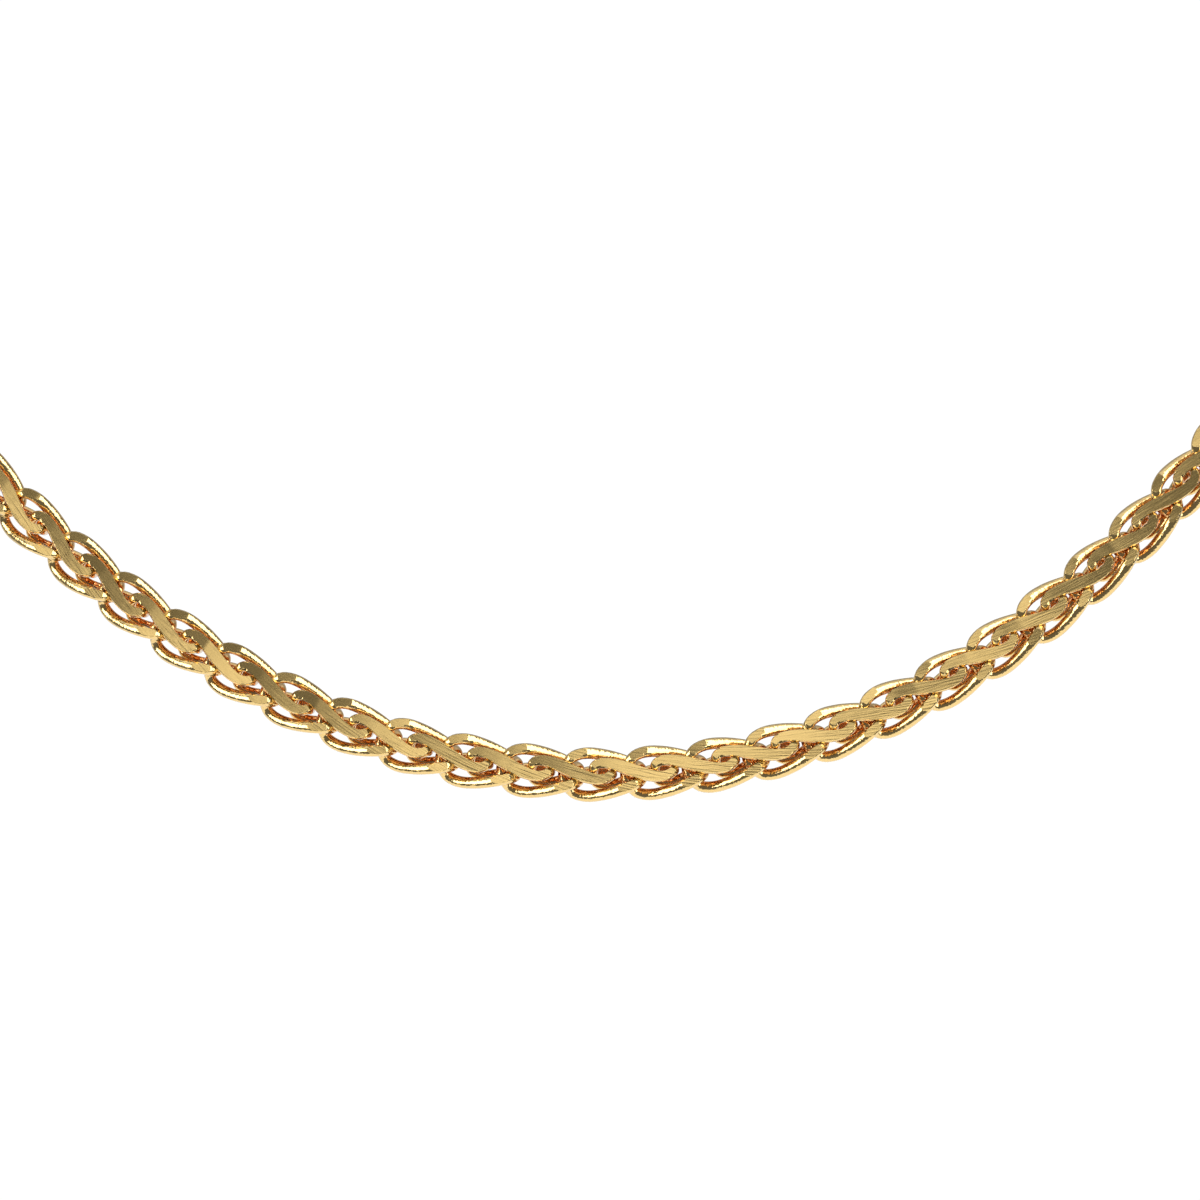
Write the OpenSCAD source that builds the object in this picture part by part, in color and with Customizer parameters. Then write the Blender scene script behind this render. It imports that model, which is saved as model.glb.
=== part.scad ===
// Neck chain of flat and side links, gold plated, on a neck's own line.
// Millimetres. X runs across the wearer, Y from front to nape, Z up.
// The origin is where the chain sits on the nape: the inner face of the clasp.

/* [Necklace] */
// Length of the whole necklace, from end to end when it lies open
necklace_l = 420; // [419:1:424]
// Distance from one flat link to the next
pitch = 5.02; // [5.00:0.01:5.04]
// Number of flat links
flat_links = 80; // [80:1:80]
// How far the flat link nearest the lowest point lies to the left of it
link_shift = 0.7; // [0.6:0.02:0.9]

/* [Lie on the neck] */
// Lean of the hanging front, from its lowest point back and up
lean_back = 14; // [13:0.5:15]
// Radius of the hanging curve at its lowest point
front_r = 51.6; // [51:0.2:53]
// Length of chain that hangs in the flat front, on each side of the lowest point
front_l = 60; // [59:0.5:61]
// Share of the rest in which the chain turns back over the shoulder
shoulder_share = 0.44; // [0.42:0.01:0.46]
// How fast the climb dies out towards the nape
climb_power = 1.6; // [1.5:0.1:1.7]
// Upward tilt of the chain's face over the shoulder
shoulder_tilt = 34; // [30:1:38]

/* [End rings] */
// Thickness of an end ring's wire
ring_wire = 0.64; // [0.6:0.02:0.66]
// Middle radius of the ring on the clasp's eye
eye_ring_r = 1.8; // [1.75:0.05:1.85]
// Middle radius of the ring in the clasp's claw
claw_ring_r = 2.1; // [2.05:0.05:2.15]
// How far an end ring is turned out of square to the chain's face
ring_turn = 20; // [18:1:22]

/* [Clasp] */
// Thickness of the clasp
clasp_t = 1.3; // [1.2:0.1:1.4]
// Height of the clasp's claw
claw_h = 4.2; // [4.0:0.1:4.4]
// Radius of the eye
eye_r = 1.8; // [1.75:0.05:1.85]
// Radius of the eye's hole
eye_hole_r = 1; // [0.95:0.05:1.05]
// Half the width of the claw's slot
slot_r = 1; // [0.95:0.05:1.05]
// Length of the claw's slot between the centres of its ends
slot_l = 4.4; // [4:0.1:4.8]

/* [Hidden] */
$fn = 48;

// Corners of a link's wire, a flat outer face and a back that narrows: across, out
WIRE = [[1, 1], [-1, 1], [-0.85, -0.25], [0, -1], [0.85, -0.25]];
CORNERS = len(WIRE);

// A quarter of each link, in shares of the pitch, from its right end to its middle:
// place [along, up, out], way the flat face looks [along, up, out], half width, half depth
FLAT_LINK = [
    [[0.628, 0, 0], [1, 0, 0], 0.060, 0.060],
    [[0.518, -0.154, 0.165], [0, 0, 1], 0.072, 0.060],
    [[0.200, -0.060, 0.195], [0, 0, 1], 0.100, 0.034],
];
SIDE_LINK = [
    [[0.588, 0, 0], [1, 0, 0], 0.060, 0.060],
    [[0.482, 0.286, -0.147], [0, -0.4, -1], 0.066, 0.062],
    [[0.175, 0.353, -0.040], [0, 1, -0.3], 0.068, 0.066],
];

// Half turns about the axes of a link
ABOUT_UP = [-1, 1, -1];
ABOUT_OUT = [-1, -1, 1];

// The chain's own line, in steps short enough to take as straight
half_l = necklace_l / 2;
STEP = 0.5;
steps = round(half_l / STEP);

// Share of the way from the end of the hanging front to the nape
function behind(s) = max(0, (s - front_l) / (half_l - front_l));

// Angle of climb: a hanging chain's at the front, dying out to the nape
function climb(s) = atan(min(s, front_l) / front_r) * (1 - pow(behind(s), climb_power));

// Soft step from 0 to 1
function soft(t) = t >= 1 ? 1 : t * t * (3 - 2 * t);

// Heading in plan: 0 at the front and 180 at the nape, part of it over the shoulder
function heading(s, shoulder) =
    shoulder * soft(behind(s) / shoulder_share) + (180 - shoulder) * behind(s);

// Tilt of the face, which takes back the lean by the nape so that the clasp stands upright
function tilt(s) = lean_back * behind(s) + shoulder_tilt * sin(180 * behind(s));

function unit(v) = v / norm(v);
function direction(c, h) = [cos(c) * cos(h), cos(c) * sin(h), sin(c)];

// How far across the chain ends when it turns by this much over the shoulder
function nape_x(shoulder) = [
    for (i = 0, x = 0; i <= steps;
         x = x + STEP * direction(climb((i + 0.5) * STEP), heading((i + 0.5) * STEP, shoulder)).x,
         i = i + 1)
        if (i == steps) x
][0];

// Halves the range until the chain's two sides meet at the nape
function closing_turn(low, high, tries) =
    let (mid = (low + high) / 2)
    tries == 0 ? mid
    : nape_x(mid) > 0 ? closing_turn(mid, high, tries - 1)
    : closing_turn(low, mid, tries - 1);
shoulder_turn = closing_turn(20, 120, 24);

// Places of the chain's middle line, from the lowest point to the nape
LINE = [
    for (i = 0, p = [0, 0, 0]; i <= steps + 1;
         p = p + STEP * direction(climb((i + 0.5) * STEP), heading((i + 0.5) * STEP, shoulder_turn)),
         i = i + 1)
        p
];

// The line is drawn upright and then leans back
function leaned(v) = [
    v.x,
    v.y * cos(lean_back) + v.z * sin(lean_back),
    v.z * cos(lean_back) - v.y * sin(lean_back)
];
nape = leaned(LINE[steps]) - [0, clasp_t / 2, 0];

// The same line from -half_l to half_l, wherever the length counts from
function wrap(s) = s > half_l ? s - necklace_l : s < -half_l ? s + necklace_l : s;
function side(s) = s < 0 ? -1 : 1;
function place(s) =
    let (w = wrap(s), i = floor(abs(w) / STEP), f = abs(w) / STEP - i)
    let (p = LINE[i] * (1 - f) + LINE[i + 1] * f)
    leaned([side(w) * p.x, p.y, p.z]) - nape;

// Axes along the chain, up its face and out of its face
function axes(s) =
    let (w = wrap(s), c = side(w) * climb(abs(w)))
    let (h = side(w) * heading(abs(w), shoulder_turn), t = tilt(abs(w)))
    let (up = [-cos(h) * sin(c), -sin(h) * sin(c), cos(c)], out = [sin(h), -cos(h), 0])
    [for (v = [direction(c, h), up * cos(t) - out * sin(t), out * cos(t) + up * sin(t)]) leaned(v)];

// A row of a link's table after a half turn
function turned_vector(v, turn) = [v.x * turn.x, v.y * turn.y, v.z * turn.z];
function turned(row, turn) =
    [turned_vector(row[0], turn), turned_vector(row[1], turn), row[2], row[3]];

// All ten sections of a link, from its quarter and the half turns that repeat it
function whole_link(quarter, first, second) =
    let (half = concat(quarter, [turned(quarter[2], first), turned(quarter[1], first)]))
    concat(half, [for (row = half) turned(row, second)]);
flat_sections = whole_link(FLAT_LINK, ABOUT_OUT, ABOUT_UP);
side_sections = whole_link(SIDE_LINK, ABOUT_UP, ABOUT_OUT);
SECTIONS = len(flat_sections);

// Corner points of a link in its own axes
function link_points(sections) = [
    for (i = [0 : SECTIONS - 1])
        let (here = sections[i][0])
        let (before = sections[(i + SECTIONS - 1) % SECTIONS][0])
        let (after = sections[(i + 1) % SECTIONS][0])
        let (along = unit(unit(after - here) + unit(here - before)))
        let (face = sections[i][1], out = unit(face - (face * along) * along))
        let (across = cross(out, along))
        for (corner = WIRE)
            pitch * (here + corner.x * sections[i][2] * across + corner.y * sections[i][3] * out)
];
flat_points = link_points(flat_sections);
side_points = link_points(side_sections);

// The same corners where the chain's line carries the link
function carried(points, s) =
    let (origin = place(s), a = axes(s))
    [for (p = points) origin + p.x * a[0] + p.y * a[1] + p.z * a[2]];

// How far the middle of a line from p to q stands out from a point
function stands_out(p, q, from) = norm((p + q) / 2 - from);

// Two triangles between each corner and the next, all round the link, on the diagonal that
// stands out further, so that the wire never cuts into itself
function link_faces(sections, points) = [
    for (i = [0 : SECTIONS - 1], j = [0 : CORNERS - 1])
        let (k = (i + 1) % SECTIONS, l = (j + 1) % CORNERS)
        let (a = i * CORNERS + j, b = i * CORNERS + l, c = k * CORNERS + l, d = k * CORNERS + j)
        let (core = pitch * (sections[i][0] + sections[k][0]) / 2)
        let (first = stands_out(points[a], points[c], core) >= stands_out(points[b], points[d], core))
        for (face = first ? [[a, c, b], [a, d, c]] : [[a, d, b], [b, d, c]])
            face
];
flat_faces = link_faces(flat_sections, flat_points);
side_faces = link_faces(side_sections, side_points);

// A run of chain: whole numbers are flat links and halves are side links
function link_place(number) = number * pitch - link_shift;
module chain(first, last) {
    numbers = [for (n = [first : 0.5 : last]) n];
    points = [
        for (n = numbers)
            for (p = carried(n == floor(n) ? flat_points : side_points, link_place(n))) p
    ];
    faces = [
        for (k = [0 : len(numbers) - 1])
            for (face = numbers[k] == floor(numbers[k]) ? flat_faces : side_faces)
                [for (corner = face) k * SECTIONS * CORNERS + corner]
    ];
    polyhedron(points, faces);
}

left_end = -flat_links / 2;
right_end = flat_links / 2 - 1;

module chain_left() {
    color("gold") chain(left_end, -0.5);
}

module chain_right() {
    color("gold") chain(0, right_end);
}

// End rings pass through the last flat link, clear of its end by this much
ring_clearance = 0.2;
ring_start = (FLAT_LINK[0][0].x - FLAT_LINK[0][3]) * pitch - ring_clearance - ring_wire / 2;

// Puts a piece on the chain's line, with X along it, Y up and Z out of its face
module on_line(s) {
    w = wrap(s);
    translate(place(s))
        rotate([-lean_back, 0, 0])
            rotate([0, 0, side(w) * heading(abs(w), shoulder_turn)])
                rotate([0, -side(w) * climb(abs(w)), 0])
                    rotate([90 - tilt(abs(w)), 0, 0])
                        children();
}

module end_ring(s, r, turn) {
    on_line(s)
        rotate([90 + turn, 0, 0])
            rotate_extrude()
                translate([r, 0])
                    circle(d = ring_wire, $fn = 24);
}

module end_ring_left() {
    color("gold")
        end_ring(link_place(left_end) - ring_start - claw_ring_r, claw_ring_r, ring_turn);
}

module end_ring_right() {
    color("gold")
        end_ring(link_place(right_end) + ring_start + eye_ring_r, eye_ring_r, -ring_turn);
}

// The clasp lies between the far sides of both rings
eye_at = place(link_place(right_end) + ring_start + 2 * eye_ring_r);
claw_at = place(link_place(left_end) - ring_start - 2 * claw_ring_r);
clasp_way = claw_at - eye_at;
clasp_l = norm(clasp_way);
clasp_tilt = tilt(wrap(link_place(right_end) + ring_start + 2 * eye_ring_r)) - lean_back;
claw_r = claw_h / 2;
claw_back = 4;
neck_h = 1.8;
nub_r = 0.75;

module bar(x1, x2, r) {
    translate([x1, 0]) circle(r);
    translate([x2, 0]) circle(r);
    translate([x1, -r]) square([x2 - x1, 2 * r]);
}

module clasp_outline() {
    difference() {
        union() {
            circle(eye_r);
            translate([0, -neck_h / 2]) square([claw_back, neck_h]);
            bar(claw_back, clasp_l - 0.3, claw_r);
            translate([clasp_l - slot_l, claw_r]) circle(nub_r);
        }
        circle(eye_hole_r);
        bar(clasp_l - slot_l, clasp_l, slot_r);
    }
}

module clasp() {
    color("gold")
        translate(eye_at)
            rotate([0, 0, atan2(clasp_way.y, clasp_way.x)])
                rotate([0, -asin(clasp_way.z / clasp_l), 0])
                    rotate([90 - clasp_tilt, 0, 0])
                        linear_extrude(height = clasp_t, center = true)
                            clasp_outline();
}

chain_left();
chain_right();
end_ring_left();
end_ring_right();
clasp();
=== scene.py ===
import math
import random

import bpy
import numpy as np
from mathutils import Matrix, Vector


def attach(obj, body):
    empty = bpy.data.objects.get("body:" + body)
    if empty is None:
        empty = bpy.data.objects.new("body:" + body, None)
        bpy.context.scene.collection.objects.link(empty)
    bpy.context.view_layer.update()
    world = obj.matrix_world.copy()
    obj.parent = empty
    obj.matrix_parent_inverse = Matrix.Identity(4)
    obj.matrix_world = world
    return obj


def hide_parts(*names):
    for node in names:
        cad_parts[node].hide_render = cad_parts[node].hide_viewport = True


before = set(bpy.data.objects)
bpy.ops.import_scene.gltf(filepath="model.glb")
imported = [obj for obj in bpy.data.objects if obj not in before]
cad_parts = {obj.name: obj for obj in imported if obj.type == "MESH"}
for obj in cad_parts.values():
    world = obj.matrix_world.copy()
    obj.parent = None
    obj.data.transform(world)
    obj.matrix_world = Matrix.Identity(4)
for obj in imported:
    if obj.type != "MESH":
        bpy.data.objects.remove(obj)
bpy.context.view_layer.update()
random.seed(7)

# Everything below is worked out in millimetres and made in metres.
mm = 0.001


# The line that the chain lies on

necklace = {
    "length": 420,          # mm, whole loop
    "pitch": 5.02,          # mm, from one flat link to the next
    "flatLinks": 80,
    "linkShift": 0.7,       # mm, the lowest flat link is left of the lowest point
    "leanBack": 14,         # degrees, lean of the hanging front
    "frontRadius": 51.6,    # mm, of the hanging curve at its lowest point
    "frontLength": 60,      # mm of hanging front on each side
    "shoulderShare": 0.44,  # of each side's way behind the front, over which it turns back
    "climbPower": 1.6,      # above 1, it climbs longer before it levels out at the nape
    "shoulderTilt": 34,     # degrees that the chain lies over on the shoulder
    "step": 0.5,            # mm between the points of the line
    "napeGap": 0.65,        # mm, half the clasp's thickness
    "turnFrom": 20,         # degrees, least and most that a side can turn over the shoulder
    "turnTo": 120,
    "halvings": 24,
}
halfLength = necklace["length"] / 2
pitch = necklace["pitch"]


def behind(s):
    start = necklace["frontLength"]
    return max(0, (s - start) / (halfLength - start))


def climb(s):
    rise = math.atan(min(s, necklace["frontLength"]) / necklace["frontRadius"])
    return rise * (1 - behind(s) ** necklace["climbPower"])


def heading(s, shoulderTurn):
    t = min(1, behind(s) / necklace["shoulderShare"])
    return shoulderTurn * t * t * (3 - 2 * t) + (math.pi - shoulderTurn) * behind(s)


def tilt(s):
    over = math.radians(necklace["shoulderTilt"]) * math.sin(math.pi * behind(s))
    return math.radians(necklace["leanBack"]) * behind(s) + over


def direction(c, h):
    return Vector((math.cos(c) * math.cos(h), math.cos(c) * math.sin(h), math.sin(c)))


def drawLine(shoulderTurn):
    step = necklace["step"]
    point = Vector()
    line = [point.copy()]
    for i in range(round(halfLength / step) + 2):
        s = (i + 0.5) * step
        point = point + step * direction(climb(s), heading(s, shoulderTurn))
        line.append(point.copy())
    return line


def closeLoop():
    low, high = math.radians(necklace["turnFrom"]), math.radians(necklace["turnTo"])
    for _ in range(necklace["halvings"]):  # until both sides meet at the nape
        middle = (low + high) / 2
        if drawLine(middle)[round(halfLength / necklace["step"])].x > 0:
            low = middle
        else:
            high = middle
    return middle


shoulderTurn = closeLoop()
line = drawLine(shoulderTurn)
lean = Matrix.Rotation(math.radians(-necklace["leanBack"]), 3, "X")
nape = lean @ line[round(halfLength / necklace["step"])] - Vector((0, necklace["napeGap"], 0))


def wrap(s):
    if s > halfLength:
        return s - necklace["length"]
    return s + necklace["length"] if s < -halfLength else s


def placeAt(s):
    w = wrap(s)
    side = -1 if w < 0 else 1
    i = math.floor(abs(w) / necklace["step"])
    f = abs(w) / necklace["step"] - i
    p = line[i] * (1 - f) + line[i + 1] * f
    return lean @ Vector((side * p.x, p.y, p.z)) - nape


def axesAt(s):
    w = wrap(s)
    side = -1 if w < 0 else 1
    c = side * climb(abs(w))
    h = side * heading(abs(w), shoulderTurn)
    t = tilt(abs(w))
    along = direction(c, h)
    up = Vector((-math.cos(h) * math.sin(c), -math.sin(h) * math.sin(c), math.cos(c)))
    out = Vector((math.sin(h), -math.cos(h), 0))
    up, out = up * math.cos(t) - out * math.sin(t), out * math.cos(t) + up * math.sin(t)
    return Matrix((lean @ along, lean @ up, lean @ out)).transposed()


def matrixAt(s):
    return Matrix.Translation(placeAt(s) * mm) @ axesAt(s).to_4x4()


# The links have play, so they hang farther apart in the left front, and close up again behind it.
play = {
    "from": 3,             # flat links from the lowest point
    "opening": 0.026,      # mm, grows with the square of the links passed
    "until": 11.5,
    "closing": 0.16,       # mm that the right front closes up
    "closingLinks": 5,
}


def smooth(value):
    t = max(0, min(1, value))
    return t * t * (3 - 2 * t)


def slide(number):
    away = abs(number)
    if number < 0:
        moved = play["opening"] * max(0, min(away, play["until"]) - play["from"]) ** 2
    else:
        moved = play["closing"] * smooth(away / play["closingLinks"])
    rest = necklace["flatLinks"] / 2 - play["until"]
    return moved * (1 - smooth((away - play["until"]) / rest))


def linkPlace(number):
    return number * pitch - necklace["linkShift"] - slide(number)


# Small helpers

def hexColour(code):
    values = [int(code[i:i + 2], 16) / 255 for i in (1, 3, 5)]
    linear = [v / 12.92 if v <= 0.04045 else ((v + 0.055) / 1.055) ** 2.4 for v in values]
    return (*linear, 1)


def addNode(tree, kind, settings=None, links=None):
    node = tree.nodes.new(kind)
    for name, value in (settings or {}).items():
        if name in node.inputs and not hasattr(node, name):
            node.inputs[name].default_value = value
        else:
            setattr(node, name, value)
    for name, source in (links or {}).items():
        tree.links.new(source, node.inputs[name])
    return node


def calculate(tree, operation, *values):
    node = addNode(tree, "ShaderNodeMath", {"operation": operation})
    for socket, value in zip(node.inputs, values):
        if isinstance(value, (int, float)):
            socket.default_value = value
        else:
            tree.links.new(value, socket)
    return node.outputs["Value"]


def newMaterial(name, colour, settings):
    material = bpy.data.materials.new(name)
    material.use_nodes = True
    tree = material.node_tree
    surface = tree.nodes["Principled BSDF"]
    surface.inputs["Base Color"].default_value = hexColour(colour)
    for socket, value in settings.items():
        surface.inputs[socket].default_value = value
    return material, tree, surface


def selectOnly(*objects):
    bpy.ops.object.select_all(action="DESELECT")
    for obj in objects:
        obj.select_set(True)
    bpy.context.view_layer.objects.active = objects[0]


# Gold-plated brass wire, drawn and polished: a bright yellow mirror that the drawing die and
# the bending have left slightly uneven, so highlights break up into beads of light.
wireGold = {
    "colour": "#E7C782",
    "paintedShadeColour": "#DA9A58",  # painted shade: redder and darker in the crevices and on the wires' inner sides
    "roughness": 0.10,
    "lacquer": 1.0,        # clear coat that keeps the plating bright
    "lacquerRoughness": 0.05,
    "beadSize": 0.26,      # mm
    "beadHeight": 0.038,   # mm
}


# Gold-plated brass castings and thicker wire, tumbled bright: smoother than the links' wire, with
# the slow waves that tumbling leaves.
castGold = {
    "colour": "#E7C782",
    "roughness": 0.14,
    "lacquer": 1.0,
    "lacquerRoughness": 0.05,
    "beadSize": 1.1,       # mm
    "beadHeight": 0.02,    # mm
}


def makePolishedGold(name, settings):
    material, tree, surface = newMaterial(
        name, settings["colour"],
        {"Metallic": 1, "Roughness": settings["roughness"], "Coat Weight": settings["lacquer"],
         "Coat Roughness": settings["lacquerRoughness"]})
    spot = addNode(tree, "ShaderNodeTexCoord")
    beads = addNode(
        tree, "ShaderNodeTexNoise",
        {"Scale": 1 / (settings["beadSize"] * mm), "Detail": 1.5},
        {"Vector": spot.outputs["Object"]})
    bump = addNode(
        tree, "ShaderNodeBump", {"Distance": settings["beadHeight"] * mm},
        {"Height": beads.outputs["Fac"]})
    tree.links.new(bump.outputs["Normal"], surface.inputs["Normal"])
    # Painted shade: where the wire looks inward or lies inside the chain's outline, its colour is
    # mixed towards the darker, redder shade colour.
    if "paintedShadeColour" in settings:
        own, deep = hexColour(settings["colour"]), hexColour(settings["paintedShadeColour"])
        paintedShade = addNode(tree, "ShaderNodeAttribute", {"attribute_name": "paintedShade"})
        colour = addNode(
            tree, "ShaderNodeMixRGB", {"Color1": own, "Color2": deep},
            {"Fac": paintedShade.outputs["Fac"]})
        tree.links.new(colour.outputs["Color"], surface.inputs["Base Color"])
    return material


# Gold-plated brass ground flat and brushed along the chain: a soft mirror with straight fine
# lines, real ones about 0.02 mm apart, drawn here 0.15 mm apart so that they show.
flatGold = {
    "colour": "#E5C47E",
    "roughness": 0.16,
    "lineTurn": -14,       # degrees from the chain's own line
    "lineSpacing": 0.15,   # mm
    "lineLength": 2.6,     # mm
    "lineDepth": 0.013,    # mm
    "lineFade": 0.4,       # share of the lines' depth that is left in the left hook
    "cutFade": 0.45,       # and on flats whose left hook is cut most
    "waveSize": 2.2,       # mm
    "waveHeight": 0.010,   # mm
    "crown": -0.004,       # fall of the flats to both ends, as a share of the square of the way
    "hookFrom": 0.9,       # mm from the middle, from where the left hook has its own angle
    "leftHookLess": 0.5,   # mm that this part is shorter in the left front
    "hookTurn": 0.046,     # full slope of that part
    "hookBlend": 0.35,     # mm over which the slope starts
    "hookUneven": 0.8,     # mm that its edge wanders
}


def makeFlatGold():
    material, tree, surface = newMaterial(
        "brushed_gold_flats", flatGold["colour"],
        {"Metallic": 1, "Roughness": flatGold["roughness"]})
    spot = addNode(tree, "ShaderNodeUVMap", {"uv_map": "brushing"})
    cut = addNode(tree, "ShaderNodeAttribute", {"attribute_name": "cut"})
    own = addNode(tree, "ShaderNodeSeparateXYZ", links={"Vector": cut.outputs["Vector"]})
    seed, turn, hook = own.outputs  # of this link, as layChain writes them
    turned = addNode(
        tree, "ShaderNodeMapping", {"Rotation": (0, 0, math.radians(-flatGold["lineTurn"]))},
        {"Vector": spot.outputs["UV"]})
    split = addNode(tree, "ShaderNodeSeparateXYZ", links={"Vector": turned.outputs["Vector"]})
    place = addNode(
        tree, "ShaderNodeCombineXYZ",
        links={"X": split.outputs["X"], "Y": split.outputs["Y"], "Z": seed})
    stretch = addNode(
        tree, "ShaderNodeMapping",
        {"Scale": (1 / flatGold["lineLength"], 1 / flatGold["lineSpacing"], 1)},
        {"Vector": place.outputs["Vector"]})
    lines = addNode(
        tree, "ShaderNodeTexNoise", {"Scale": 1, "Detail": 2},
        {"Vector": stretch.outputs["Vector"]})
    spread = addNode(
        tree, "ShaderNodeMapping", {"Scale": (1 / flatGold["waveSize"],) * 2 + (1,)},
        {"Vector": place.outputs["Vector"]})
    waves = addNode(
        tree, "ShaderNodeTexNoise", {"Scale": 1, "Detail": 1},
        {"Vector": spread.outputs["Vector"]})
    x = addNode(tree, "ShaderNodeSeparateXYZ", links={"Vector": spot.outputs["UV"]}).outputs["X"]
    crown = calculate(tree, "MULTIPLY", calculate(tree, "MULTIPLY", x, x), flatGold["crown"])
    uneven = calculate(tree, "MULTIPLY_ADD", waves.outputs["Fac"], flatGold["hookUneven"], x)
    shorter = calculate(
        tree, "MULTIPLY_ADD", calculate(tree, "LESS_THAN", hook, 0), flatGold["leftHookLess"],
        flatGold["hookFrom"])
    tip = calculate(tree, "SUBTRACT", calculate(tree, "MULTIPLY", shorter, -1), uneven)
    tip = calculate(tree, "SMOOTH_MAX", tip, -flatGold["hookUneven"] / 2, flatGold["hookBlend"])
    fall = calculate(tree, "ADD", crown, calculate(tree, "MULTIPLY", x, turn))
    fall = calculate(tree, "ADD", fall, calculate(tree, "MULTIPLY", tip, hook))
    ground = addNode(
        tree, "ShaderNodeBump", {"Distance": mm, "invert": True}, {"Height": fall})
    wavy = addNode(
        tree, "ShaderNodeBump", {"Distance": flatGold["waveHeight"] * mm},
        {"Height": waves.outputs["Fac"], "Normal": ground.outputs["Normal"]})
    worn = addNode(
        tree, "ShaderNodeMapRange",
        {"From Min": -flatGold["hookFrom"], "From Max": flatGold["hookFrom"],
         "To Min": flatGold["lineFade"], "To Max": 1}, {"Value": x})
    smoother = addNode(
        tree, "ShaderNodeMapRange",
        {"From Max": flatGold["hookTurn"], "To Min": 1, "To Max": flatGold["cutFade"]},
        {"Value": calculate(tree, "ABSOLUTE", hook)})
    depth = calculate(tree, "MULTIPLY", worn.outputs["Result"], smoother.outputs["Result"])
    brushed = addNode(
        tree, "ShaderNodeBump", {"Distance": flatGold["lineDepth"] * mm},
        {"Height": lines.outputs["Fac"], "Strength": depth,
         "Normal": wavy.outputs["Normal"]})
    tree.links.new(brushed.outputs["Normal"], surface.inputs["Normal"])
    return material


wireMaterial = makePolishedGold("polished_gold_wire_with_painted_shade", wireGold)
castMaterial = makePolishedGold("tumbled_gold_casting", castGold)
flatMaterial = makeFlatGold()
print("materials made")


# Links, each modelled once in its own axes: X along the chain, Y up its face, Z out of it.
# All sizes are shares of the pitch.

flatLink = {
    "rings": 64,
    "sides": 16,
    "reach": 0.655,        # middle of the wire at the link's ends
    "hook": 0.134,         # how far the strand swings up and down
    "upturn": 0.042,       # how far both ends turn up
    "sink": 0.010,         # how far the middle lies below the chain's line
    "depth": 0.180,        # middle of the front strand
    "square": 5.0,         # how square the turn to the back is
    "wire": 0.083,         # half the thickness
    "waist": 0.112,        # half the width in the middle of a strand
    "waistPower": 6,
}

sideLink = {
    "rings": 56,
    "sides": 14,
    "reach": 0.645,
    "height": 0.336,
    "roundness": 0.90,     # 1 is an ellipse, less is squarer
    "skew": 0.006,         # how much fuller the ends in front are than the ends behind
    "depth": 0.184,
    "square": 0.9,
    "duck": 0.52,          # share of the height where the ends dive between two strands
    "duckPower": 4,
    "wire": 0.081,
    "pressed": 0.098,      # half the width in the middle of the outer strands
    "pressedPower": 1.5,
}

grinding = {
    "height": 0.223,       # of the ground flats, front and back
    "halfWidth": 0.42,     # of the whole chain
    # Painted shade: the wire colour turns darker and redder on faces that look inward and inside
    # the chain's outline.
    "paintedShadeEdge": 0.15,    # how far round the wires the painted shade comes
    "paintedShadeReach": 0.8,    # and how slowly it ends there
    "paintedShadeDepth": 0.7,    # how far inside the outline the painted shade starts, as a share of it
    "paintedShadeFade": 0.6,
    "rim": 0.006,          # width of the burnished rim
    "rimRise": 0.005,
    "merge": 0.003,        # distance within which corners are one
    "flatNormal": 0.99,    # what tells the ground flats from the wire's own faces
    "flatCorners": 9,
}

spacing = {
    "bendShare": 0.12,     # length that counts as much as a bend of one radian
    "samples": 2880,
    "nudge": 0.01,         # radians each way, to find where the wire points
}


def signedPower(value, power):
    return math.copysign(abs(value) ** power, value)


def flatLinkPoint(angle):
    depth = math.tanh(flatLink["square"] * math.sin(angle)) / math.tanh(flatLink["square"])
    lift = flatLink["upturn"] * math.cos(angle) ** 2 - flatLink["sink"]
    return Vector((
        flatLink["reach"] * math.cos(angle),
        lift - flatLink["hook"] * math.sin(2 * angle),
        flatLink["depth"] * depth))


def sideLinkPoint(angle):
    depth = math.tanh(sideLink["square"] * math.sin(2 * angle)) / math.tanh(sideLink["square"])
    dive = 1 - math.exp(-(abs(math.sin(angle)) / sideLink["duck"]) ** sideLink["duckPower"])
    across = signedPower(math.sin(angle), sideLink["roundness"])
    return Vector((
        sideLink["reach"] * signedPower(math.cos(angle), sideLink["roundness"]),
        sideLink["height"] * across - sideLink["skew"] * math.sin(2 * angle),
        -sideLink["depth"] * depth * dive))


def spreadAngles(pointAt, count):
    fine = [2 * math.pi * i / spacing["samples"] for i in range(spacing["samples"] + 1)]
    points = [pointAt(a) for a in fine]
    steps = [b - a for a, b in zip(points, points[1:])]
    run = [0]
    for i, step in enumerate(steps):  # tight bends get more rings
        turn = steps[i - 1].angle(step)
        run.append(run[-1] + step.length + spacing["bendShare"] * turn)
    return list(np.interp([run[-1] * i / count for i in range(count)], run, fine))


def ringMatrix(pointAt, angle):
    nudge = spacing["nudge"]
    along = (pointAt(angle + nudge) - pointAt(angle - nudge)).normalized()
    face = Vector((along.z, 0, -along.x)).normalized()
    return Matrix((face.cross(along), face, along)).transposed()


def selectFlats(link, *ways):
    bpy.ops.mesh.select_all(action="DESELECT")
    bpy.ops.object.mode_set(mode="OBJECT")
    for face in link.data.polygons:
        flat = any(face.normal.z * way > grinding["flatNormal"] for way in ways)
        face.select = flat and len(face.vertices) >= grinding["flatCorners"]
    bpy.ops.object.mode_set(mode="EDIT")


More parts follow.
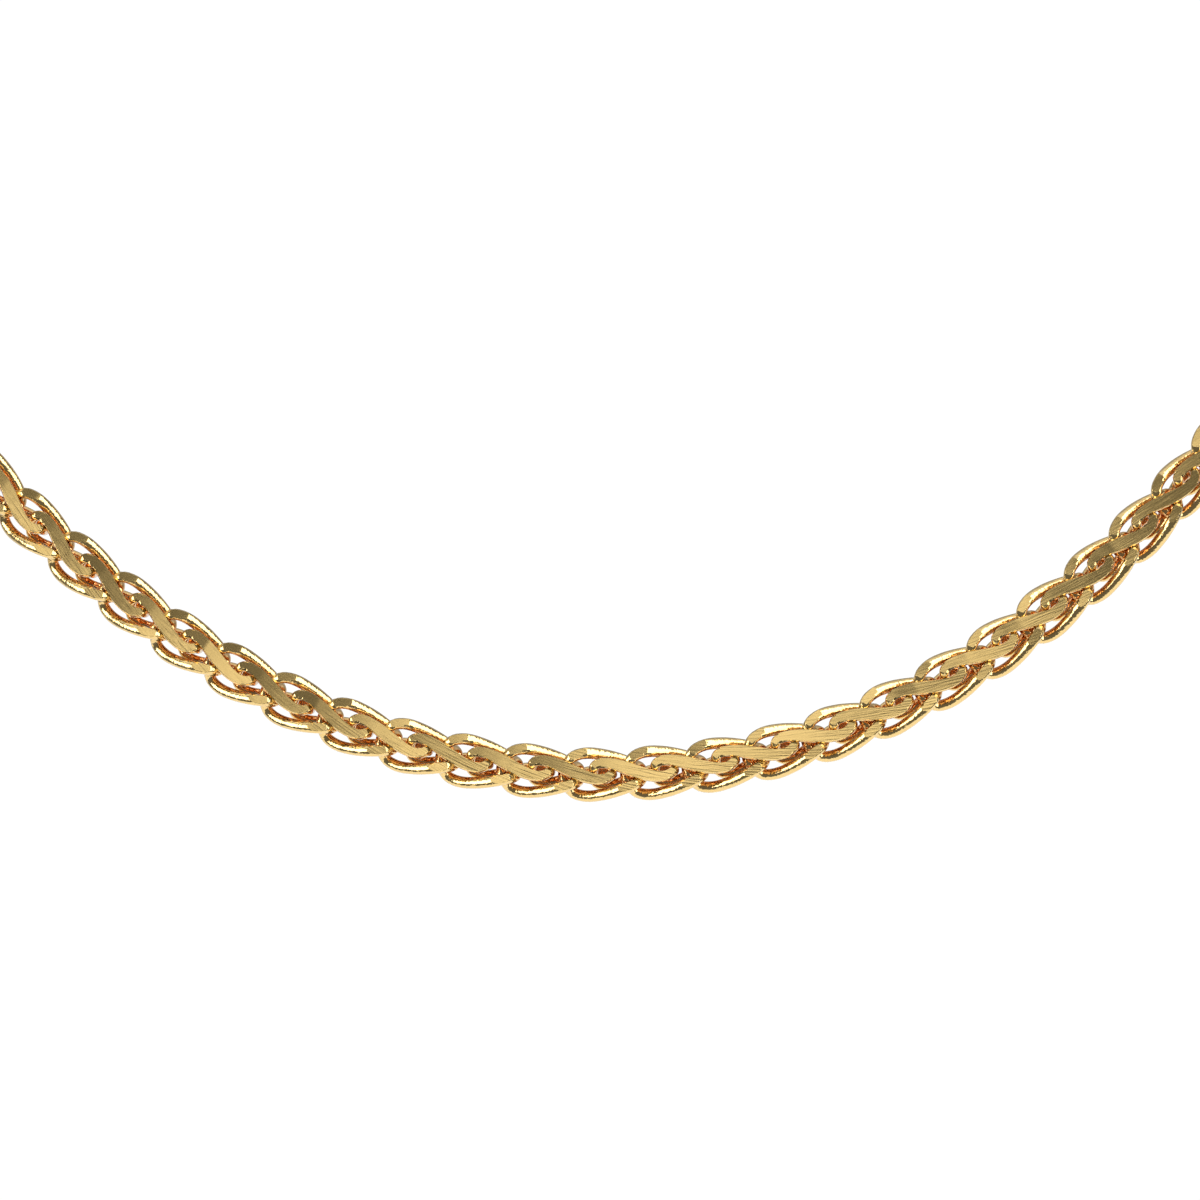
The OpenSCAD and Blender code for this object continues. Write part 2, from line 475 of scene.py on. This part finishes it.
def makeLink(name, settings, pointAt, widthAt):
    scale = pitch * mm
    for i, angle in enumerate(spreadAngles(pointAt, settings["rings"])):
        place = pointAt(angle) * scale
        turn = ringMatrix(pointAt, angle)
        bpy.ops.mesh.primitive_circle_add(
            vertices=settings["sides"], radius=settings["wire"] * scale,
            location=place, rotation=turn.to_euler())
        if i == 0:
            link = bpy.context.object
            link.name = name
            bpy.ops.object.transform_apply(location=True, rotation=True, scale=True)
            bpy.ops.object.mode_set(mode="EDIT")
        widen = widthAt(angle) / settings["wire"]
        if widen > 1.001:  # the wire isn't round here
            bpy.ops.transform.resize(
                value=(widen, 1, 1), orient_type="GLOBAL", orient_matrix=turn,
                orient_matrix_type="GLOBAL", center_override=place)
    bpy.ops.mesh.select_all(action="SELECT")
    bpy.ops.mesh.bridge_edge_loops(type="CLOSED")
    level = (grinding["height"] - grinding["rimRise"]) * scale
    for way in (1, -1):
        bpy.ops.mesh.select_all(action="SELECT")
        bpy.ops.mesh.bisect(
            plane_co=(0, 0, way * level), plane_no=(0, 0, way), use_fill=True,
            clear_outer=True)
    bpy.ops.mesh.select_all(action="SELECT")
    bpy.ops.mesh.remove_doubles(threshold=grinding["merge"] * scale)
    bpy.ops.mesh.normals_make_consistent(inside=False)
    bpy.ops.mesh.select_mode(type="FACE")
    for way in (1, -1):  # merged corners have left the flats a little uneven
        selectFlats(link, way)
        bpy.ops.transform.resize(value=(1, 1, 0), center_override=(0, 0, way * level))
    selectFlats(link, 1, -1)
    bpy.ops.mesh.inset(
        thickness=grinding["rim"] * scale, depth=grinding["rimRise"] * scale,
        use_even_offset=False)
    link.data.materials.append(wireMaterial)
    link.data.materials.append(flatMaterial)
    link.active_material_index = 1
    bpy.ops.object.material_slot_assign()
    bpy.ops.mesh.faces_shade_smooth()
    bpy.ops.mesh.region_to_loop()
    bpy.ops.mesh.mark_sharp()
    bpy.ops.object.mode_set(mode="OBJECT")
    bpy.ops.object.shade_smooth(keep_sharp_edges=True)
    # Painted shade: each corner's share of the darker, redder shade colour, from how far it faces
    # inward and how far inside the outline it lies.
    paintedShade = link.data.attributes.new("paintedShade", "FLOAT", "POINT")
    for vertex in link.data.vertices:
        _, y, z = vertex.co / scale
        outward = vertex.normal.dot(Vector((0, y, z)).normalized())
        facing = grinding["paintedShadeEdge"] - outward / grinding["paintedShadeReach"]
        reached = math.hypot(y / grinding["halfWidth"], z / grinding["height"])
        buried = (grinding["paintedShadeDepth"] - reached) / grinding["paintedShadeFade"]
        paintedShade.data[vertex.index].value = max(0, min(1, max(facing, buried)))
    brushing = link.data.uv_layers.new(name="brushing")
    for loop in link.data.loops:
        x, y, _ = link.data.vertices[loop.vertex_index].co / mm
        brushing.data[loop.index].uv = (x, y)
    link.data.attributes.new("cut", "FLOAT_VECTOR", "POINT")
    print(name, "has", sum(len(f.vertices) - 2 for f in link.data.polygons), "triangles")
    return link


def flatWidth(angle):
    share = abs(math.sin(angle)) ** flatLink["waistPower"]
    return flatLink["wire"] + (flatLink["waist"] - flatLink["wire"]) * share


def sideWidth(angle):
    share = abs(math.sin(angle)) ** sideLink["pressedPower"]
    return sideLink["wire"] + (sideLink["pressed"] - sideLink["wire"]) * share


flatModel = makeLink("flat_link", flatLink, flatLinkPoint, flatWidth)
sideModel = makeLink("side_link", sideLink, sideLinkPoint, sideWidth)


looseness = {
    "settled": 4.0,        # degrees that all links roll back as they hang
    "roll": 1.2,           # degrees that a link may turn about the chain
    "yaw": 1.2,            # degrees that it may turn about its own height
}


# The flats were ground link by link, so each lies at its own angle. Slopes are mm for each mm,
# and places are counted in flat links from the lowest point.
cutting = {
    "across": 6,           # flat links over which the left hooks' own slope comes up
    "turn": 0.007,         # most slope, either way, that a flat has by chance
    "leftTurn": 0.014,     # slope that all flats of the left front have too
    "leftLinks": 3,        # flat links over which it comes up
    "rightTurn": -0.008,   # slope that each next flat link in the right front has more
    "rightFrom": 5,
    "hookMost": 1.15,      # most that a left hook is cut by chance, as a share of hookTurn
    "hookPower": 1.5,      # above 1, few hooks are cut as much
    "patterns": 400,       # how far apart the links' own brushed lines may lie
}


def layChain(name, first, last):
    links = []
    for i in range(round((last - first) * 2) + 1):
        number = first + i / 2
        model = flatModel if number == math.floor(number) else sideModel
        link = bpy.data.objects.new(f"{name}_{i}", model.data.copy())
        bpy.context.collection.objects.link(link)
        roll = Matrix.Rotation(
            math.radians(random.uniform(-1, 1) * looseness["roll"] - looseness["settled"]), 4, "X")
        yaw = Matrix.Rotation(math.radians(random.uniform(-1, 1) * looseness["yaw"]), 4, "Y")
        link.data.transform(matrixAt(linkPlace(number)) @ roll @ yaw)
        away = abs(number) / cutting["across"]
        turn = random.uniform(-1, 1) * cutting["turn"]
        turn += cutting["leftTurn"] * smooth(-number / cutting["leftLinks"])
        turn += cutting["rightTurn"] * max(0, min(number, play["until"]) - cutting["rightFrom"])
        share = cutting["hookMost"] * random.random() ** cutting["hookPower"]
        hook = math.copysign(flatGold["hookTurn"] * smooth(away) * share, number)
        seed = random.uniform(0, cutting["patterns"])
        cut = np.tile((seed, turn, hook), len(link.data.vertices))
        link.data.attributes["cut"].data.foreach_set("vector", cut)
        links.append(link)
    selectOnly(*links)
    bpy.ops.object.join()
    chain = bpy.context.object
    chain.name = name
    print(name, "has", sum(len(f.vertices) - 2 for f in chain.data.polygons), "triangles")
    return chain


half = necklace["flatLinks"] / 2
chainLeft = layChain("chain_left_links", -half, -0.5)
chainRight = layChain("chain_right_links", 0, half - 1)
for chain, node in ((chainLeft, "chain_left"), (chainRight, "chain_right")):
    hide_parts(node)
    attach(chain, "root")
bpy.data.objects.remove(flatModel)
bpy.data.objects.remove(sideModel)
print("chain laid")


# End rings of bent wire, and between them a plain cast clasp with rounded edges

endRings = {
    "wire": 0.64,          # mm
    "start": 2.331,        # mm from the middle of the last flat link to the ring's near side
    "leftRadius": 2.1,     # mm, the ring in the clasp's slot
    "rightRadius": 1.8,    # mm, the ring in its eye
    "turn": 20,            # degrees that each ring lies turned about the chain
    "steps": 72,
    "sides": 20,
    "merge": 0.001,        # mm within which corners are one
}


def finishFitting(piece, node, place):
    piece.name = node + "_finished"
    piece.data.materials.append(castMaterial)
    piece.data.transform(place)
    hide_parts(node)
    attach(piece, "root")
    print(piece.name, "has", sum(len(f.vertices) - 2 for f in piece.data.polygons), "triangles")


def makeRing(node, s, radius, turn):
    bpy.ops.object.select_all(action="DESELECT")
    bpy.ops.mesh.primitive_circle_add(
        vertices=endRings["sides"], radius=endRings["wire"] / 2 * mm, location=(radius * mm, 0, 0),
        rotation=(math.radians(90), 0, 0))
    bpy.ops.object.transform_apply(location=True, rotation=True, scale=True)
    bpy.ops.object.mode_set(mode="EDIT")
    bpy.ops.mesh.select_all(action="SELECT")
    bpy.ops.mesh.spin(
        steps=endRings["steps"], angle=2 * math.pi, center=(0, 0, 0), axis=(0, 0, 1))
    bpy.ops.mesh.select_all(action="SELECT")
    bpy.ops.mesh.remove_doubles(threshold=endRings["merge"] * mm)
    bpy.ops.mesh.normals_make_consistent(inside=False)
    bpy.ops.object.mode_set(mode="OBJECT")
    bpy.ops.object.shade_smooth()
    way = Matrix.Rotation(math.radians(90 + turn), 4, "X")
    finishFitting(bpy.context.object, node, matrixAt(s) @ way)


leftEnd = linkPlace(-half) - endRings["start"]
rightEnd = linkPlace(half - 1) + endRings["start"]
makeRing(
    "end_ring_left", leftEnd - endRings["leftRadius"], endRings["leftRadius"], endRings["turn"])
makeRing(
    "end_ring_right", rightEnd + endRings["rightRadius"], endRings["rightRadius"],
    -endRings["turn"])

clasp = {                  # mm
    "thickness": 1.3,
    "eye": 1.8,            # radius round the eye
    "eyeHole": 1.0,
    "neck": 1.8,
    "body": 2.1,           # half its height
    "bodyFrom": 4,
    "tip": 0.3,            # how far the middle of its round end lies before that of the slot
    "slot": 1.0,           # half its width
    "slotLength": 4.4,
    "thumbNub": 0.75,
    "edge": 0.25,          # rounding
    "edgeSteps": 3,
    "edgeAngle": 40,       # degrees, least angle of an edge that is rounded
    "sides": 64,           # of every disc
    "merge": 0.005,
    "flatAngle": 1,        # degrees, most angle between faces that become one
}


def addDisc(x, y, radius, thickness):
    bpy.ops.object.select_all(action="DESELECT")
    bpy.ops.mesh.primitive_cylinder_add(
        vertices=clasp["sides"], radius=radius * mm, depth=thickness * mm,
        location=(x * mm, y * mm, 0))
    bpy.ops.object.transform_apply(location=True, rotation=True, scale=True)
    return bpy.context.object


def addBlock(x1, x2, height, thickness):
    bpy.ops.object.select_all(action="DESELECT")
    bpy.ops.mesh.primitive_cube_add(size=1, location=((x1 + x2) / 2 * mm, 0, 0))
    block = bpy.context.object
    block.scale = ((x2 - x1) * mm, height * mm, thickness * mm)
    bpy.ops.object.transform_apply(location=True, rotation=True, scale=True)
    return block


def combine(body, tools, operation):
    for tool in tools:
        selectOnly(body)
        modifier = body.modifiers.new(operation.lower(), "BOOLEAN")
        modifier.operation = operation
        modifier.solver = "EXACT"
        modifier.object = tool
        bpy.ops.object.modifier_apply(modifier=modifier.name)
        bpy.data.objects.remove(tool)


def makeClasp():
    eyeAt = placeAt(rightEnd + 2 * endRings["rightRadius"])
    way = placeAt(leftEnd - 2 * endRings["leftRadius"]) - eyeAt
    length = way.length
    thick, cut = clasp["thickness"], clasp["thickness"] * 2
    slotFrom, tipAt = length - clasp["slotLength"], length - clasp["tip"]
    body = addDisc(0, 0, clasp["eye"], thick)
    combine(body, [
        addBlock(0, clasp["bodyFrom"], clasp["neck"], thick),
        addDisc(clasp["bodyFrom"], 0, clasp["body"], thick),
        addBlock(clasp["bodyFrom"], tipAt, clasp["body"] * 2, thick),
        addDisc(tipAt, 0, clasp["body"], thick),
        addDisc(slotFrom, clasp["body"], clasp["thumbNub"], thick)], "UNION")
    combine(body, [
        addDisc(0, 0, clasp["eyeHole"], cut),
        addDisc(slotFrom, 0, clasp["slot"], cut),
        addBlock(slotFrom, length, clasp["slot"] * 2, cut),
        addDisc(length, 0, clasp["slot"], cut)], "DIFFERENCE")
    selectOnly(body)
    bpy.ops.object.mode_set(mode="EDIT")
    bpy.ops.mesh.select_all(action="SELECT")
    bpy.ops.mesh.remove_doubles(threshold=clasp["merge"] * mm)
    bpy.ops.mesh.dissolve_limited(angle_limit=math.radians(clasp["flatAngle"]))
    bpy.ops.object.mode_set(mode="OBJECT")
    rounding = body.modifiers.new("rounding", "BEVEL")
    rounding.width = clasp["edge"] * mm
    rounding.segments = clasp["edgeSteps"]
    rounding.use_clamp_overlap = False
    rounding.limit_method = "ANGLE"
    rounding.angle_limit = math.radians(clasp["edgeAngle"])
    bpy.ops.object.modifier_apply(modifier=rounding.name)
    bpy.ops.object.shade_smooth_by_angle(angle=math.radians(clasp["edgeAngle"]))
    lying = tilt(rightEnd + 2 * endRings["rightRadius"]) - math.radians(necklace["leanBack"])
    finishFitting(
        body, "clasp",
        Matrix.Translation(eyeAt * mm) @ Matrix.Rotation(math.atan2(way.y, way.x), 4, "Z")
        @ Matrix.Rotation(-math.asin(way.z / length), 4, "Y")
        @ Matrix.Rotation(math.radians(90) - lying, 4, "X"))


makeClasp()
print("fittings made")


# Floor, light and camera

studio = {
    "floorDrop": 96,       # mm below the lowest point
    "floorRadius": 300,    # mm
    "floorAhead": 90,      # mm that the floor reaches in front of the chain
    "floorSides": 128,
    "floorColour": "#F4F3F1",
    "floorRoughness": 0.9,
    "backdrop": 1.05,      # brightness that the camera sees behind the chain
    "front": 0.16,         # brightness of the room on the camera's side
    "back": 0.80,          # brightness of the paper behind the chain
    "backTop": 0.40,       # brightness of the room high up behind it
    "backTopFrom": 0.5,    # height of a direction 1 long from where it is so
    "backFrom": 0.65,      # depth of a direction 1 long from where the back is full
    "ceiling": 0.95,       # brightness of the tent overhead
    "ceilingFrom": 0.62,   # heights of a direction 1 long between which the tent starts
    "ceilingTo": 0.85,
    "tent": 0.72,          # brightness of the tent that lights the floor
}

lowest = placeAt(0)
bpy.ops.object.select_all(action="DESELECT")
bpy.ops.mesh.primitive_circle_add(
    vertices=studio["floorSides"], radius=studio["floorRadius"] * mm, fill_type="NGON",
    location=(0, (lowest.y - studio["floorAhead"] + studio["floorRadius"]) * mm,
              (lowest.z - studio["floorDrop"]) * mm))
floor = bpy.context.object
floor.name = "floor"
bpy.ops.object.transform_apply(location=True, rotation=True, scale=True)

# Matte backdrop paper, uncoated: an even off-white with no gloss.
paper, _, _ = newMaterial(
    "matte_paper", studio["floorColour"], {"Roughness": studio["floorRoughness"]})
floor.data.materials.append(paper)

world = bpy.data.worlds.new("studio")
world.use_nodes = True
bpy.context.scene.world = world
tree = world.node_tree
tree.nodes.clear()
way = addNode(tree, "ShaderNodeTexCoord")
split = addNode(tree, "ShaderNodeSeparateXYZ", links={"Vector": way.outputs["Generated"]})
frontValue = addNode(
    tree, "ShaderNodeMapRange",
    {"From Min": studio["ceilingFrom"], "From Max": studio["ceilingTo"],
     "To Min": studio["front"], "To Max": studio["ceiling"],
     "interpolation_type": "SMOOTHSTEP"},
    {"Value": split.outputs["Z"]})
backValue = addNode(
    tree, "ShaderNodeMapRange",
    {"From Min": 0, "From Max": studio["backTopFrom"],
     "To Min": studio["back"], "To Max": studio["backTop"],
     "interpolation_type": "SMOOTHSTEP"},
    {"Value": split.outputs["Z"]})
shade = addNode(
    tree, "ShaderNodeMapRange",
    {"From Min": 0, "From Max": studio["backFrom"], "interpolation_type": "SMOOTHSTEP"},
    {"Value": split.outputs["Y"], "To Min": frontValue.outputs["Result"],
     "To Max": backValue.outputs["Result"]})
white = (1, 1, 1, 1)
room = addNode(
    tree, "ShaderNodeBackground", {"Color": white}, {"Strength": shade.outputs["Result"]})
ray = addNode(tree, "ShaderNodeLightPath")
evenParts = {"Is Diffuse Ray": studio["tent"], "Is Camera Ray": studio["backdrop"]}
for kind, brightness in evenParts.items():
    even = addNode(tree, "ShaderNodeBackground", {"Color": white, "Strength": brightness})
    both = addNode(tree, "ShaderNodeMixShader", links={"Fac": ray.outputs[kind]})
    tree.links.new(room.outputs[0], both.inputs[1])
    tree.links.new(even.outputs[0], both.inputs[2])
    room = both
addNode(tree, "ShaderNodeOutputWorld", links={"Surface": room.outputs[0]})

# Soft boxes: way from the chain's lowest point [azimuth, elevation], distance, width and
# height in mm, and brightness
softBoxes = {
    "front": [(-1.2, 42), 1000, (175, 290), 1.14],
    "right": [(55, 25), 900, (720, 1300), 3.2],
    "left": [(-62, 15), 900, (600, 620), 3.6],
    "high_left": [(-50, 44), 900, (400, 260), 0.8],
    "high_right": [(30, 52), 900, (230, 300), 3.0],
}


def addSoftBox(name, way, distance, size, brightness):
    azimuth, elevation = (math.radians(v) for v in way)
    toLight = Vector((
        math.sin(azimuth) * math.cos(elevation),
        -math.cos(azimuth) * math.cos(elevation),
        math.sin(elevation)))
    width, height = (v * mm for v in size)
    bpy.ops.object.light_add(
        type="AREA", location=(lowest + toLight * distance) * mm,
        rotation=toLight.to_track_quat("Z", "Y").to_euler())
    light = bpy.context.object
    light.name = name + "_soft_box"
    light.data.shape = "RECTANGLE"
    light.data.size, light.data.size_y = width, height
    light.data.energy = brightness * math.pi * width * height


for name, values in softBoxes.items():
    addSoftBox(name, *values)

view = {
    "distance": 1500,      # mm from the chain, a long lens
    "width": 97.0,         # mm across the picture at the chain
    "targetX": -2.55,      # mm from the lowest point to the middle of the picture
    "targetZ": 14.2,
    "roll": 3.6,           # degrees
    "sensor": 36,          # mm
    "clipStart": 50,       # mm
    "clipEnd": 20000,
}
target = lowest + Vector((view["targetX"], 0, view["targetZ"]))
bpy.ops.object.camera_add(location=(target - Vector((0, view["distance"], 0))) * mm)
camera = bpy.context.object
level = Matrix.Rotation(math.radians(90), 3, "X")
rolled = level @ Matrix.Rotation(math.radians(-view["roll"]), 3, "Z")
camera.rotation_euler = rolled.to_euler()
camera.data.sensor_width = view["sensor"]
camera.data.lens = view["sensor"] * view["distance"] / view["width"]
camera.data.clip_start = view["clipStart"] * mm
camera.data.clip_end = view["clipEnd"] * mm
bpy.context.scene.camera = camera
bpy.context.scene.view_settings.view_transform = "Standard"
print("studio set up")
